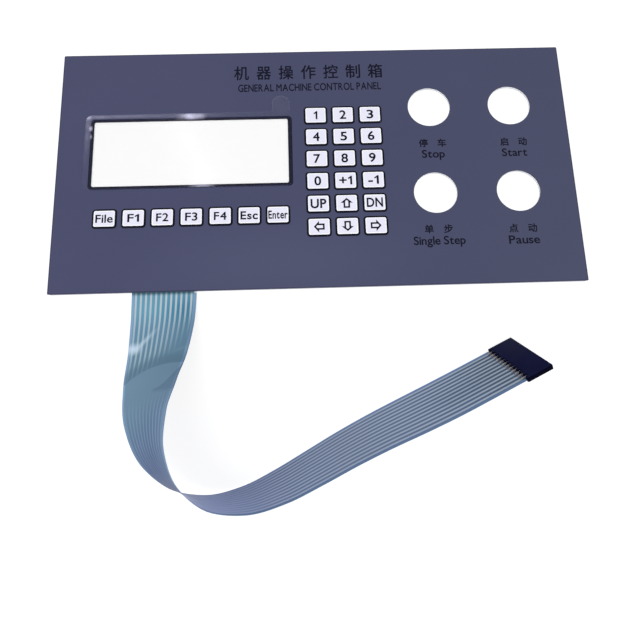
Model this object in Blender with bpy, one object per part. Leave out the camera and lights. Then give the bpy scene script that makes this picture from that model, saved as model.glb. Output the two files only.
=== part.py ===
"""Membrane keypad for a machine control box: a laminate of printed film, domes and circuit on one base.

Metres, +Z up. The origin is on the table, under the middle of the panel. +X runs along the panel's
long side, and +Y points away from the edge that the flat tail leaves.
"""

import math

import bmesh
import bpy
from mathutils import Matrix, Vector

# Panel outline, shared by every die-cut sheet
PANEL_DEPTH = 0.1375
PANEL_CORNER = 0.0015
CORNER_STEPS = 4

# Spaces along the panel, from its left edge: window, block of keys, holes, right edge
EDGE_TO_WINDOW = 0.0188
WINDOW_TO_KEYS = 0.0097
KEYS_TO_HOLES = 0.01555
HOLES_TO_EDGE = 0.01925

# Sheet thicknesses, from the table up
BOND_GAP = 0.00001
LINER_THICK = 0.00012
REAR_ADHESIVE_THICK = 0.00013
CIRCUIT_THICK = 0.00015
RETAINER_THICK = 0.00010
OVERLAY_ADHESIVE_THICK = 0.00008
OVERLAY_THICK = 0.00025

# Holes for four round push buttons
HOLE_RADIUS = 0.0115
HOLE_PITCH_X = 0.0441
HOLE_PITCH_Y = 0.0507
HOLE_GROUP_Y = 0.0072
HOLE_SIDES = 32

# Clear display window
WINDOW_Y = 0.0083
WINDOW_WIDTH = 0.1040
WINDOW_DEPTH = 0.0376
WINDOW_CORNER = 0.0010
WINDOW_LAP = 0.0005

# Peel-off film over the window, with its pull tab
FILM_THICK = 0.00010
FILM_LEFT_LAP = 0.0050
FILM_RIGHT_LAP = 0.0018
FILM_TOP_LAP = 0.0046
FILM_BOTTOM_LAP = 0.0018
FILM_CORNER = 0.0035
TAB_WIDTH = 0.0098
TAB_REACH = 0.0095

# Keys: one row under the window, and a block of rows and columns beside it
KEY_WIDTH = 0.0110
KEY_DEPTH = 0.0090
KEY_CORNER = 0.0006
KEY_RISE = 0.00045
KEY_SLOPE = 0.00045
FUNCTION_INSET = 0.0024
FUNCTION_Y = -0.0287
FUNCTION_PITCH = 0.0150
PAD_COLUMNS = 3
PAD_ROWS = 6
PAD_FIRST_Y = 0.0287
PAD_PITCH_X = 0.0148
PAD_PITCH_Y = 0.01294

# Metal snap domes and the sheet that spaces them
DOME_RADIUS = 0.0040
DOME_HEIGHT = 0.00032
DOME_WALL = 0.00007
DOME_SIDES = 12
DOME_RINGS = 2
DOME_HEADROOM = 0.00003
POCKET_CLEARANCE = 0.00025
POCKET_SIDES = 16

# Tail: the circuit film's own strip, which lies free in front of the panel
TAIL_WIDTH = 0.0326
TAIL_THICK = 0.00020
TAIL_X = -0.0789
TAIL_GAP = 0.00005
TAIL_STEPS = 3
TAIL_COLUMNS = 4

# Route of the tail's middle line: X, Y, height and roll in degrees at each point
TAIL_ROUTE = (
    (-0.0789, -0.0760, 0.0009, 2),
    (-0.0790, -0.0860, 0.0026, 7),
    (-0.0795, -0.1020, 0.0083, 18),
    (-0.0806, -0.1175, 0.0160, 29),
    (-0.0806, -0.1335, 0.0222, 41),
    (-0.0770, -0.1497, 0.0243, 56),
    (-0.0676, -0.1637, 0.0228, 76),
    (-0.0535, -0.1709, 0.0192, 97),
    (-0.0370, -0.1704, 0.0162, 111),
    (-0.0212, -0.1649, 0.0150, 118),
    (-0.0058, -0.1572, 0.0147, 121),
    (0.0093, -0.1493, 0.0146, 123),
    (0.0247, -0.1419, 0.0144, 125),
    (0.0403, -0.1350, 0.0141, 127),
    (0.0559, -0.1280, 0.0140, 128),
    (0.0713, -0.1207, 0.0139, 128),
    (0.0866, -0.1133, 0.0139, 128),
)

# Crimp connector on the tail's end
WAYS = 12
PITCH = 0.00254
HOUSING_WIDTH = 0.0330
HOUSING_LENGTH = 0.0134
HOUSING_THICK = 0.0026
HOUSING_BEVEL = 0.0003
CAVITY_WIDTH = 0.0018
CAVITY_HEIGHT = 0.0016
NOTCH_DEPTH = 0.0016
ENTRY_GAP = 0.0003
CONTACT_CLEARANCE = 0.00015
CONTACT_TAB = 0.0020
CONTACT_STOCK = 0.00030
CONTACT_BODY_START = 0.0010
CONTACT_SHORT = 0.0010
CONTACT_SLOT = 0.0007
CONTACT_SLOT_DEPTH = 0.0060

# Places along the panel that follow from what stands beside what
PAD_WIDTH = (PAD_COLUMNS - 1) * PAD_PITCH_X + KEY_WIDTH
HOLE_GROUP_WIDTH = HOLE_PITCH_X + 2 * HOLE_RADIUS
WINDOW_TO_HOLES = WINDOW_TO_KEYS + PAD_WIDTH + KEYS_TO_HOLES
PANEL_WIDTH = EDGE_TO_WINDOW + WINDOW_WIDTH + WINDOW_TO_HOLES + HOLE_GROUP_WIDTH + HOLES_TO_EDGE
WINDOW_LEFT = EDGE_TO_WINDOW - PANEL_WIDTH / 2
WINDOW_X = WINDOW_LEFT + WINDOW_WIDTH / 2
FUNCTION_FIRST_X = WINDOW_LEFT + FUNCTION_INSET + KEY_WIDTH / 2
FUNCTION_KEYS = 1 + int((WINDOW_WIDTH - FUNCTION_INSET - KEY_WIDTH) / FUNCTION_PITCH)
PAD_FIRST_X = WINDOW_LEFT + WINDOW_WIDTH + WINDOW_TO_KEYS + KEY_WIDTH / 2
HOLE_GROUP_X = PANEL_WIDTH / 2 - HOLES_TO_EDGE - HOLE_GROUP_WIDTH / 2

# Heights that follow from the stack
SPACER_THICK = DOME_HEIGHT + DOME_HEADROOM
REAR_ADHESIVE_Z = LINER_THICK + BOND_GAP
CIRCUIT_Z = REAR_ADHESIVE_Z + REAR_ADHESIVE_THICK + BOND_GAP
SPACER_Z = CIRCUIT_Z + CIRCUIT_THICK + BOND_GAP
RETAINER_Z = SPACER_Z + SPACER_THICK + BOND_GAP
OVERLAY_ADHESIVE_Z = RETAINER_Z + RETAINER_THICK + BOND_GAP
OVERLAY_Z = OVERLAY_ADHESIVE_Z + OVERLAY_ADHESIVE_THICK + BOND_GAP
OVERLAY_TOP = OVERLAY_Z + OVERLAY_THICK
FILM_Z = OVERLAY_TOP + BOND_GAP


# Scene and materials

def clear_scene():
    for obj in list(bpy.data.objects):
        bpy.data.objects.remove(obj, do_unlink=True)


def material(name, colour, roughness, metallic=0.0, alpha=1.0):
    made = bpy.data.materials.new(name)
    made.use_nodes = True
    shader = made.node_tree.nodes["Principled BSDF"]
    shader.inputs["Base Color"].default_value = (*colour, 1.0)
    shader.inputs["Roughness"].default_value = roughness
    shader.inputs["Metallic"].default_value = metallic
    shader.inputs["Alpha"].default_value = alpha
    made.diffuse_color = (*colour, alpha)
    return made


def place(name, mesh, finish):
    """A named object for a mesh, with one material."""
    mesh.materials.clear()
    mesh.materials.append(finish)
    obj = bpy.data.objects.new(name, mesh)
    bpy.context.scene.collection.objects.link(obj)
    return obj


# Outlines, as lists of points in the sheet's plane

def rounded_rectangle(x, y, width, depth, corner, steps=CORNER_STEPS):
    points = []
    for turn, (side_x, side_y) in enumerate(((1, 1), (-1, 1), (-1, -1), (1, -1))):
        middle_x = x + side_x * (width / 2 - corner)
        middle_y = y + side_y * (depth / 2 - corner)
        for step in range(steps + 1):
            angle = math.radians(90) * (turn + step / steps)
            points.append((middle_x + corner * math.cos(angle), middle_y + corner * math.sin(angle)))
    return points


def circle(x, y, radius, sides):
    angles = [math.tau * step / sides for step in range(sides)]
    return [(x + radius * math.cos(angle), y + radius * math.sin(angle)) for angle in angles]


def panel_outline():
    return rounded_rectangle(0, 0, PANEL_WIDTH, PANEL_DEPTH, PANEL_CORNER)


def hole_outlines():
    found = []
    for side_y in (1, -1):
        for side_x in (-1, 1):
            x = HOLE_GROUP_X + side_x * HOLE_PITCH_X / 2
            y = HOLE_GROUP_Y + side_y * HOLE_PITCH_Y / 2
            found.append(circle(x, y, HOLE_RADIUS, HOLE_SIDES))
    return found


def window_outline():
    """Opening behind the clear window, a little larger than what shows."""
    width = WINDOW_WIDTH + 2 * WINDOW_LAP
    depth = WINDOW_DEPTH + 2 * WINDOW_LAP
    return rounded_rectangle(WINDOW_X, WINDOW_Y, width, depth, WINDOW_CORNER + WINDOW_LAP)


def key_places():
    """Name and centre of each key, the row under the window first."""
    found = []
    for number in range(FUNCTION_KEYS):
        found.append((f"function_{number + 1}", FUNCTION_FIRST_X + number * FUNCTION_PITCH, FUNCTION_Y))
    for row in range(PAD_ROWS):
        for column in range(PAD_COLUMNS):
            name = f"keypad_{row * PAD_COLUMNS + column + 1}"
            found.append((name, PAD_FIRST_X + column * PAD_PITCH_X, PAD_FIRST_Y - row * PAD_PITCH_Y))
    return found


# Shapes

def sheet_mesh(name, outline, openings, bottom, thick):
    """A flat sheet cut to an outline, with openings, as a filled and extruded flat curve."""
    curve = bpy.data.curves.new(name, "CURVE")
    curve.dimensions = "2D"
    curve.fill_mode = "BOTH"
    curve.extrude = thick / 2
    for points in [outline, *openings]:
        spline = curve.splines.new("POLY")
        spline.points.add(len(points) - 1)
        for target, (x, y) in zip(spline.points, points):
            target.co = (x, y, 0, 1)
        spline.use_cyclic_u = True
    guide = bpy.data.objects.new(name + "_guide", curve)
    bpy.context.scene.collection.objects.link(guide)
    bpy.context.view_layer.update()
    mesh = bpy.data.meshes.new_from_object(guide.evaluated_get(bpy.context.evaluated_depsgraph_get()))
    bpy.data.objects.remove(guide)
    shell = bmesh.new()
    shell.from_mesh(mesh)
    bmesh.ops.remove_doubles(shell, verts=shell.verts, dist=1e-7)
    for vert in shell.verts:
        vert.co.z = bottom + (thick if vert.co.z > 0 else 0)
    bmesh.ops.recalc_face_normals(shell, faces=shell.faces)
    shell.to_mesh(mesh)
    shell.free()
    mesh.name = name
    return mesh


def frustum(shell, low_outline, high_outline, low, high):
    """Adds a closed prism whose top outline may be smaller than its bottom one."""
    bottom = [shell.verts.new((x, y, low)) for x, y in low_outline]
    top = [shell.verts.new((x, y, high)) for x, y in high_outline]
    shell.faces.new(bottom[::-1])
    shell.faces.new(top)
    for i in range(len(bottom)):
        following = (i + 1) % len(bottom)
        shell.faces.new((bottom[i], bottom[following], top[following], top[i]))


def helper(name, shell):
    """A hidden object that a Boolean reads."""
    mesh = bpy.data.meshes.new(name)
    shell.to_mesh(mesh)
    shell.free()
    obj = bpy.data.objects.new(name, mesh)
    bpy.context.scene.collection.objects.link(obj)
    obj.hide_render = True
    obj.display_type = "WIRE"
    return obj


def combine(obj, other, operation):
    modifier = obj.modifiers.new(other.name, "BOOLEAN")
    modifier.operation = operation
    modifier.solver = "EXACT"
    modifier.object = other


def key_blocks(name, low, high, base_growth, wall):
    """Raised key shapes: each tapers from its base outline to its top outline."""
    shell = bmesh.new()
    slope_share = (high - low) / KEY_RISE * KEY_SLOPE
    for _, x, y in key_places():
        outlines = []
        for growth in (base_growth, base_growth - slope_share):
            width = KEY_WIDTH + 2 * growth - 2 * wall
            depth = KEY_DEPTH + 2 * growth - 2 * wall
            corner = max(KEY_CORNER + growth - wall, KEY_CORNER / 4)
            outlines.append(rounded_rectangle(x, y, width, depth, corner, steps=2))
        frustum(shell, outlines[0], outlines[1], low, high)
    return helper(name, shell)


# Laminate sheets

def make_overlay(finish):
    """Printed top film: the keys are embossed in it, hollow from behind, and the window is left clear."""
    mesh = sheet_mesh("graphic_overlay", panel_outline(), hole_outlines(), OVERLAY_Z, OVERLAY_THICK)
    overlay = place("graphic_overlay", mesh, finish)
    slope_per_height = KEY_SLOPE / KEY_RISE
    root = OVERLAY_TOP - OVERLAY_THICK / 2
    root_growth = KEY_SLOPE + (OVERLAY_TOP - root) * slope_per_height
    raised = key_blocks("key_tops", root, OVERLAY_TOP + KEY_RISE, root_growth, 0)
    combine(overlay, raised, "UNION")
    below = OVERLAY_Z - OVERLAY_THICK
    below_growth = KEY_SLOPE + (OVERLAY_Z - below) * slope_per_height
    hollow = key_blocks("key_hollows", below, OVERLAY_Z + KEY_RISE, below_growth, OVERLAY_THICK)
    combine(overlay, hollow, "DIFFERENCE")
    return overlay


def make_sheets(finishes):
    """The flat layers below the printed film, from the table up."""
    through = hole_outlines()
    behind_window = [*through, window_outline()]
    pockets = [circle(x, y, DOME_RADIUS + POCKET_CLEARANCE, POCKET_SIDES) for _, x, y in key_places()]
    layers = (
        ("release_liner", through, 0.0, LINER_THICK, finishes["liner"]),
        ("rear_adhesive", behind_window, REAR_ADHESIVE_Z, REAR_ADHESIVE_THICK, finishes["adhesive"]),
        ("circuit_film", behind_window, CIRCUIT_Z, CIRCUIT_THICK, finishes["circuit"]),
        ("dome_spacer", [*behind_window, *pockets], SPACER_Z, SPACER_THICK, finishes["spacer"]),
        ("dome_retainer", behind_window, RETAINER_Z, RETAINER_THICK, finishes["spacer"]),
        ("overlay_adhesive", behind_window, OVERLAY_ADHESIVE_Z, OVERLAY_ADHESIVE_THICK, finishes["adhesive"]),
    )
    for name, openings, bottom, thick, finish in layers:
        place(name, sheet_mesh(name, panel_outline(), openings, bottom, thick), finish)


def make_window_film(finish):
    """Clear peel-off film over the window: a rounded sheet with a round-ended tab at its top right."""
    left = WINDOW_X - WINDOW_WIDTH / 2 - FILM_LEFT_LAP
    right = WINDOW_X + WINDOW_WIDTH / 2 + FILM_RIGHT_LAP
    top = WINDOW_Y + WINDOW_DEPTH / 2 + FILM_TOP_LAP
    bottom = WINDOW_Y - WINDOW_DEPTH / 2 - FILM_BOTTOM_LAP
    body = rounded_rectangle((left + right) / 2, (bottom + top) / 2, right - left, top - bottom, FILM_CORNER)
    round_end = TAB_WIDTH / 2
    tab_x = right - round_end
    tab_y = top + TAB_REACH - round_end
    tab = [(tab_x + round_end * math.cos(angle), tab_y + round_end * math.sin(angle))
           for angle in [math.pi * step / 8 for step in range(9)]]
    outline = [*tab, (right - TAB_WIDTH, top), *body[CORNER_STEPS + 1:]]
    mesh = sheet_mesh("window_protective_film", outline, [], FILM_Z, FILM_THICK)
    place("window_protective_film", mesh, finish)


# Snap domes

def dome_mesh(finish):
    """One round snap dome: a shallow spherical cap pressed from thin strip, open below."""
    shell = bmesh.new()
    rows = []
    for radius, height in ((DOME_RADIUS, DOME_HEIGHT), (DOME_RADIUS - DOME_WALL, DOME_HEIGHT - DOME_WALL)):
        ball = (radius ** 2 + height ** 2) / (2 * height)
        rings = []
        for ring in range(DOME_RINGS):
            distance = radius * (1 - ring / DOME_RINGS)
            level = math.sqrt(ball ** 2 - distance ** 2) - (ball - height)
            rings.append([shell.verts.new((x, y, level)) for x, y in circle(0, 0, distance, DOME_SIDES)])
        crown = shell.verts.new((0, 0, height))
        rows.append((rings, crown))
    for rings, crown in rows:
        for lower, upper in zip(rings, rings[1:]):
            for i in range(DOME_SIDES):
                following = (i + 1) % DOME_SIDES
                shell.faces.new((lower[i], lower[following], upper[following], upper[i]))
        for i in range(DOME_SIDES):
            shell.faces.new((rings[-1][i], rings[-1][(i + 1) % DOME_SIDES], crown))
    outer_rim = rows[0][0][0]
    inner_rim = rows[1][0][0]
    for i in range(DOME_SIDES):
        following = (i + 1) % DOME_SIDES
        shell.faces.new((outer_rim[i], inner_rim[i], inner_rim[following], outer_rim[following]))
    bmesh.ops.recalc_face_normals(shell, faces=shell.faces)
    mesh = bpy.data.meshes.new("dome")
    shell.to_mesh(mesh)
    shell.free()
    mesh.shade_smooth()
    mesh.set_sharp_from_angle(angle=math.radians(40))
    mesh.materials.append(finish)
    return mesh


def make_domes(finish):
    """A dome in each pocket, resting on the circuit film."""
    mesh = dome_mesh(finish)
    for name, x, y in key_places():
        dome = bpy.data.objects.new("dome_" + name, mesh)
        bpy.context.scene.collection.objects.link(dome)
        dome.location = (x, y, SPACER_Z)


# Tail and connector

def tail_points():
    """The route from the panel's edge: middle points and rolls on one smooth curve through them."""
    start_y = -PANEL_DEPTH / 2 - TAIL_GAP
    start = (TAIL_X, start_y, CIRCUIT_Z + CIRCUIT_THICK / 2, 0)
    guides = [Vector(point) for point in (start, *TAIL_ROUTE)]
    guides = [2 * guides[0] - guides[1], *guides, 2 * guides[-1] - guides[-2]]
    points = []
    for before, here, following, after in zip(guides, guides[1:], guides[2:], guides[3:]):
        for step in range(TAIL_STEPS):
            share = step / TAIL_STEPS
            points.append(
                here
                + (following - before) * share / 2
                + (before - here * 2.5 + following * 2 - after / 2) * share ** 2
                + (here * 1.5 - before / 2 - following * 1.5 + after / 2) * share ** 3
            )
    return [*points, guides[-2]]


def tail_frames():
    """At each point of the tail: its middle, the direction of travel, and the direction across the strip."""
    points = tail_points()
    frames = []
    for i, point in enumerate(points):
        ahead = (points[min(i + 1, len(points) - 1)] - points[max(i - 1, 0)]).xyz.normalized()
        if i == 0:
            ahead = Vector((0, -1, 0))
        side = Vector((0, 0, 1)).cross(ahead).normalized()
        lift = ahead.cross(side)
        roll = math.radians(point.w)
        frames.append((point.xyz, ahead, side * math.cos(roll) + lift * math.sin(roll)))
    return frames


def make_tail(finish):
    """Flat strip of circuit film, carried along the frames.

    Each ring runs across the upper face and back across the lower one. The upper and lower faces are cut
    into triangles along the same diagonals, so the thin film keeps its thickness where it twists.
    """
    shell = bmesh.new()
    sides = [2 * column / TAIL_COLUMNS - 1 for column in range(TAIL_COLUMNS + 1)]
    rings = []
    for middle, ahead, across in tail_frames():
        normal = across.cross(ahead)
        upper = [middle + across * side * TAIL_WIDTH / 2 + normal * TAIL_THICK / 2 for side in sides]
        lower = [point - normal * TAIL_THICK for point in upper]
        rings.append([shell.verts.new(point) for point in upper + lower])
    count = len(sides)
    for near, far in zip(rings, rings[1:]):
        for first, turn in ((0, 1), (count, -1)):
            for i in range(first, first + TAIL_COLUMNS):
                shell.faces.new((near[i], near[i + 1], far[i + 1])[::turn])
                shell.faces.new((near[i], far[i + 1], far[i])[::turn])
        for i, turn in ((0, 1), (TAIL_COLUMNS, -1)):
            shell.faces.new((near[i], far[i], far[i + count])[::turn])
            shell.faces.new((near[i], far[i + count], near[i + count])[::turn])
    for ring, turn in ((rings[0], -1), (rings[-1], 1)):
        for i in range(TAIL_COLUMNS):
            shell.faces.new((ring[i], ring[i + 1], ring[i + count + 1], ring[i + count])[::turn])
    mesh = bpy.data.meshes.new("circuit_tail")
    shell.to_mesh(mesh)
    shell.free()
    mesh.shade_smooth()
    mesh.set_sharp_from_angle(angle=math.radians(40))
    place("circuit_tail", mesh, finish)


def connector_matrix():
    """Local axes of the connector: X along the plug-in direction, Y across, Z out of the tail's upper face."""
    middle, ahead, across = tail_frames()[-1]
    up = across.cross(ahead)
    turned = Matrix((ahead, up.cross(ahead), up)).transposed().to_4x4()
    return Matrix.Translation(middle + ahead * ENTRY_GAP) @ turned


def box(shell, x_range, y_range, z_range):
    outline = [(x_range[0], y_range[0]), (x_range[1], y_range[0]), (x_range[1], y_range[1]), (x_range[0], y_range[1])]
    frustum(shell, outline, outline, *z_range)


def way_centres():
    return [(number - (WAYS - 1) / 2) * PITCH for number in range(WAYS)]


def make_housing(finish):
    """Flat moulded housing: a cavity for each contact, and a notch at the cable entry of each."""
    shell = bmesh.new()
    half_width = HOUSING_WIDTH / 2
    half_thick = HOUSING_THICK / 2
    box(shell, (0, HOUSING_LENGTH), (-half_width, half_width), (-half_thick, half_thick))
    long_edges = [edge for edge in shell.edges if abs(edge.verts[0].co.x - edge.verts[1].co.x) > HOUSING_LENGTH / 2]
    bmesh.ops.bevel(shell, geom=long_edges, offset=HOUSING_BEVEL, segments=1, affect="EDGES")
    mesh = bpy.data.meshes.new("connector_housing")
    shell.to_mesh(mesh)
    shell.free()
    housing = place("connector_housing", mesh, finish)
    cavities = bmesh.new()
    notches = bmesh.new()
    for y in way_centres():
        sides = (y - CAVITY_WIDTH / 2, y + CAVITY_WIDTH / 2)
        box(cavities, (-NOTCH_DEPTH, HOUSING_LENGTH + NOTCH_DEPTH), sides, (-CAVITY_HEIGHT / 2, CAVITY_HEIGHT / 2))
        narrow = (sides[0] + CONTACT_CLEARANCE, sides[1] - CONTACT_CLEARANCE)
        box(notches, (-NOTCH_DEPTH, NOTCH_DEPTH), narrow, (0, HOUSING_THICK))
    for cutter in (helper("cavity_cutter", cavities), helper("notch_cutter", notches)):
        cutter.parent = housing
        combine(housing, cutter, "DIFFERENCE")
    housing.matrix_world = connector_matrix()


def contact_mesh(finish):
    """One stamped contact: a crimp tab on the film, and a fork in its cavity for the header pin."""
    half_height = CAVITY_HEIGHT / 2 - CONTACT_CLEARANCE
    half_width = CAVITY_WIDTH / 2 - CONTACT_CLEARANCE * 2
    tab_low = TAIL_THICK / 2 + CONTACT_CLEARANCE
    tab_high = tab_low + CONTACT_STOCK
    end = HOUSING_LENGTH - CONTACT_SHORT
    slot_start = end - CONTACT_SLOT_DEPTH
    profile = (
        (-CONTACT_TAB, tab_low), (CONTACT_BODY_START, tab_low), (CONTACT_BODY_START, -half_height),
        (end, -half_height), (end, -CONTACT_SLOT / 2), (slot_start, -CONTACT_SLOT / 2),
        (slot_start, CONTACT_SLOT / 2), (end, CONTACT_SLOT / 2), (end, half_height),
        (CONTACT_BODY_START, half_height), (CONTACT_BODY_START, tab_high), (-CONTACT_TAB, tab_high),
    )
    shell = bmesh.new()
    face = shell.faces.new([shell.verts.new((x, -half_width, z)) for x, z in profile])
    moved = bmesh.ops.extrude_face_region(shell, geom=[face])["geom"]
    sides = [item for item in moved if isinstance(item, bmesh.types.BMVert)]
    bmesh.ops.translate(shell, verts=sides, vec=(0, 2 * half_width, 0))
    bmesh.ops.recalc_face_normals(shell, faces=shell.faces)
    mesh = bpy.data.meshes.new("contact")
    shell.to_mesh(mesh)
    shell.free()
    mesh.materials.append(finish)
    return mesh


def make_contacts(finish):
    mesh = contact_mesh(finish)
    frame = connector_matrix()
    for number, y in enumerate(way_centres()):
        contact = bpy.data.objects.new(f"contact_{number + 1}", mesh)
        bpy.context.scene.collection.objects.link(contact)
        contact.matrix_world = frame @ Matrix.Translation((0, y, 0))


def main():
    clear_scene()
    finishes = {
        "liner": material("liner_paper", (0.83, 0.83, 0.80), 0.6),
        "adhesive": material("adhesive_film", (0.75, 0.74, 0.68), 0.4),
        "circuit": material("circuit_pet", (0.10, 0.22, 0.33), 0.25),
        "spacer": material("spacer_pet", (0.70, 0.74, 0.78), 0.3),
    }
    make_overlay(material("overlay_print", (0.078, 0.084, 0.162), 0.45))
    make_sheets(finishes)
    make_window_film(material("clear_film", (0.9, 0.92, 0.95), 0.1, alpha=0.3))
    make_domes(material("dome_steel", (0.62, 0.61, 0.58), 0.25, metallic=1.0))
    make_tail(finishes["circuit"])
    make_housing(material("housing_nylon", (0.012, 0.012, 0.035), 0.4))
    make_contacts(material("contact_tin", (0.62, 0.60, 0.56), 0.3, metallic=1.0))


main()
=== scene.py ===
"""Looks of a membrane keypad that lies on its back, with its flat tail curled in front of it."""

import math

import bmesh
import bpy
from mathutils import Matrix, Quaternion, Vector


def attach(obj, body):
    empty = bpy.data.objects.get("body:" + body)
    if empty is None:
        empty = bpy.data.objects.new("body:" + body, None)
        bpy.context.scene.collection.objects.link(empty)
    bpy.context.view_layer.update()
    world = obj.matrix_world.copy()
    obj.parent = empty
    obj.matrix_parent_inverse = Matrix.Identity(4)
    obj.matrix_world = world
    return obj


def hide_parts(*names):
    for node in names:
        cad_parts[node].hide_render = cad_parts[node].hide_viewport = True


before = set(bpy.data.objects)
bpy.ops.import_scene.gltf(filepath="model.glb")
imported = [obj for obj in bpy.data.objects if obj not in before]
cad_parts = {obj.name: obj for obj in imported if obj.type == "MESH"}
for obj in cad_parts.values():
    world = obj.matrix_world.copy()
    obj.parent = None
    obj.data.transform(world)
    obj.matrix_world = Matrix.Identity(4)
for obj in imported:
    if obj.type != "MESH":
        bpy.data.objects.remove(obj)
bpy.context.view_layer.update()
bpy.ops.object.select_all(action="DESELECT")

# Camera
# It stands where the photograph was taken, a hand's breadth in front of the panel and looking down,
# with the same lens and the same small roll to the left.
CAMERA_PLACE = Vector((-0.00705, -0.1567, 0.2982))
CAMERA_AIM = Vector((-0.00067, -0.0854, 0.0))
CAMERA_ROLL = math.radians(3.39)
CAMERA_LENS = 34.31
SENSOR_WIDTH = 36.0

camera = bpy.data.objects.new("camera", bpy.data.cameras.new("camera"))
bpy.context.scene.collection.objects.link(camera)
bpy.context.scene.camera = camera
camera.data.lens = CAMERA_LENS
camera.data.sensor_width = SENSOR_WIDTH
camera.data.clip_start = 0.01
camera.location = CAMERA_PLACE
camera.rotation_mode = "QUATERNION"
facing = (CAMERA_AIM - CAMERA_PLACE).to_track_quat("-Z", "Y")
camera.rotation_quaternion = facing @ Quaternion((0, 0, 1), CAMERA_ROLL)
bpy.context.scene.view_settings.view_transform = "Standard"


# Flat tail
# The strip of circuit film that runs from the panel to its connector: clear polyester with twelve
# printed silver tracks under a blue cover coat. It leaves flat, arches up and makes one half turn.
TAIL_WIDTH = 0.0326
TAIL_THICK = 0.00020
TAIL_LENGTH = 0.276
TAIL_START = (-0.0789, -0.06880, 0.000345, 0)
TAIL_ROUTE = (
    (-0.0789, -0.0760, 0.0009, 2),
    (-0.0790, -0.0860, 0.0026, 7),
    (-0.0795, -0.1020, 0.0083, 18),
    (-0.0806, -0.1175, 0.0160, 29),
    (-0.0806, -0.1335, 0.0222, 41),
    (-0.0770, -0.1497, 0.0243, 56),
    (-0.0676, -0.1637, 0.0228, 76),
    (-0.0535, -0.1709, 0.0192, 97),
    (-0.0370, -0.1704, 0.0162, 111),
    (-0.0212, -0.1649, 0.0150, 118),
    (-0.0058, -0.1572, 0.0147, 121),
    (0.0093, -0.1493, 0.0146, 123),
    (0.0247, -0.1419, 0.0144, 125),
    (0.0403, -0.1350, 0.0141, 127),
    (0.0559, -0.1280, 0.0140, 128),
    (0.0713, -0.1207, 0.0139, 128),
    (0.0866, -0.1133, 0.0139, 128),
)
TAIL_STEPS = 8
TAIL_COLUMNS = 24
TRACKS = 12
TRACK_PITCH = 0.00254
TRACK_WIDTH = 0.00115
TRACK_WIDTH_ABOVE = 0.00098
TRACK_SHIFT = 0.00020
# Painted reflection on the first leg, past the first bend, that hides the tracks: the slant and bow of its start and
# where it grows, the slant and bow of its sharp edge and where that edge lies, and where it ends and the tracks show
# again.
REFLECTION_SLANT = (0.040, 0.0)
REFLECTION_GROWS = (0.046, 0.067)
REFLECTION_EDGE_SLANT = (0.022, -0.016)
REFLECTION_EDGE = (0.0480, 0.0498)
REFLECTION_ENDS = (0.054, 0.070)


def tail_points():
    """One smooth curve through the route: the middle of the strip, and its roll in degrees."""
    guides = [Vector(point) for point in (TAIL_START, *TAIL_ROUTE)]
    guides = [2 * guides[0] - guides[1], *guides, 2 * guides[-1] - guides[-2]]
    points = []
    for before, here, following, after in zip(guides, guides[1:], guides[2:], guides[3:]):
        for step in range(TAIL_STEPS):
            share = step / TAIL_STEPS
            points.append(
                here
                + (following - before) * share / 2
                + (before - here * 2.5 + following * 2 - after / 2) * share ** 2
                + (here * 1.5 - before / 2 - following * 1.5 + after / 2) * share ** 3
            )
    return [*points, guides[-2]]


def tail_frames():
    """At each point: the middle of the strip, the direction of travel, and the direction across."""
    points = tail_points()
    found = []
    for i, point in enumerate(points):
        ahead = (points[min(i + 1, len(points) - 1)] - points[max(i - 1, 0)]).xyz.normalized()
        if i == 0:
            ahead = Vector((0, -1, 0))
        side = Vector((0, 0, 1)).cross(ahead).normalized()
        lift = ahead.cross(side)
        roll = math.radians(point.w)
        found.append((point.xyz, ahead, side * math.cos(roll) + lift * math.sin(roll)))
    return found


def tail_mesh(rings):
    """A thin closed strip whose own map runs across in shares of its width and along in metres."""
    mesh = bpy.data.meshes.new("flat_tail")
    shell = bmesh.new()
    map_layer = shell.loops.layers.uv.new("strip")
    count = TAIL_COLUMNS + 1
    shares = [column / TAIL_COLUMNS for column in range(count)]
    rows = []
    along = 0.0
    for i, (middle, ahead, across) in enumerate(rings):
        normal = across.cross(ahead)
        if i:
            along += (middle - rings[i - 1][0]).length
        edge = middle - across * TAIL_WIDTH / 2 + normal * TAIL_THICK / 2
        upper = [edge + across * TAIL_WIDTH * share for share in shares]
        lower = [point - normal * TAIL_THICK for point in upper]
        rows.append([(shell.verts.new(point), share, along)
                     for point, share in zip(upper + lower, shares + shares)])
    quads = []
    for near, far in zip(rows, rows[1:]):
        for i in range(TAIL_COLUMNS):
            quads.append(((near[i], near[i + 1], far[i + 1], far[i]), 0))
            quads.append(((near[count + i], far[count + i], far[count + i + 1], near[count + i + 1]), 1))
        quads.append(((near[0], far[0], far[count], near[count]), 0))
        last = TAIL_COLUMNS
        quads.append(((near[last], near[last + count], far[last + count], far[last]), 0))
    for row, turn in ((rows[0], -1), (rows[-1], 1)):
        for i in range(TAIL_COLUMNS):
            quads.append(((row[i], row[i + 1], row[i + count + 1], row[i + count])[::turn], 0))
    for corners, side in quads:
        face = shell.faces.new([corner[0] for corner in corners])
        face.material_index = side
        face.smooth = True
        for loop, (_, share, distance) in zip(face.loops, corners):
            loop[map_layer].uv = (share, distance)
    shell.to_mesh(mesh)
    shell.free()
    return mesh


def new_material(name):
    """A material with its node tree, its shader and a function that adds and sets up a node."""
    made = bpy.data.materials.new(name)
    made.use_nodes = True
    tree = made.node_tree

    def node(kind, links=(), **settings):
        added = tree.nodes.new(kind)
        for key, value in settings.items():
            if hasattr(added, key):
                setattr(added, key, value)
        for socket, source in links:
            if hasattr(source, "is_output"):
                tree.links.new(source, added.inputs[socket])
            else:
                added.inputs[socket].default_value = source
        return added

    return made, tree, tree.nodes["Principled BSDF"], node


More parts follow.
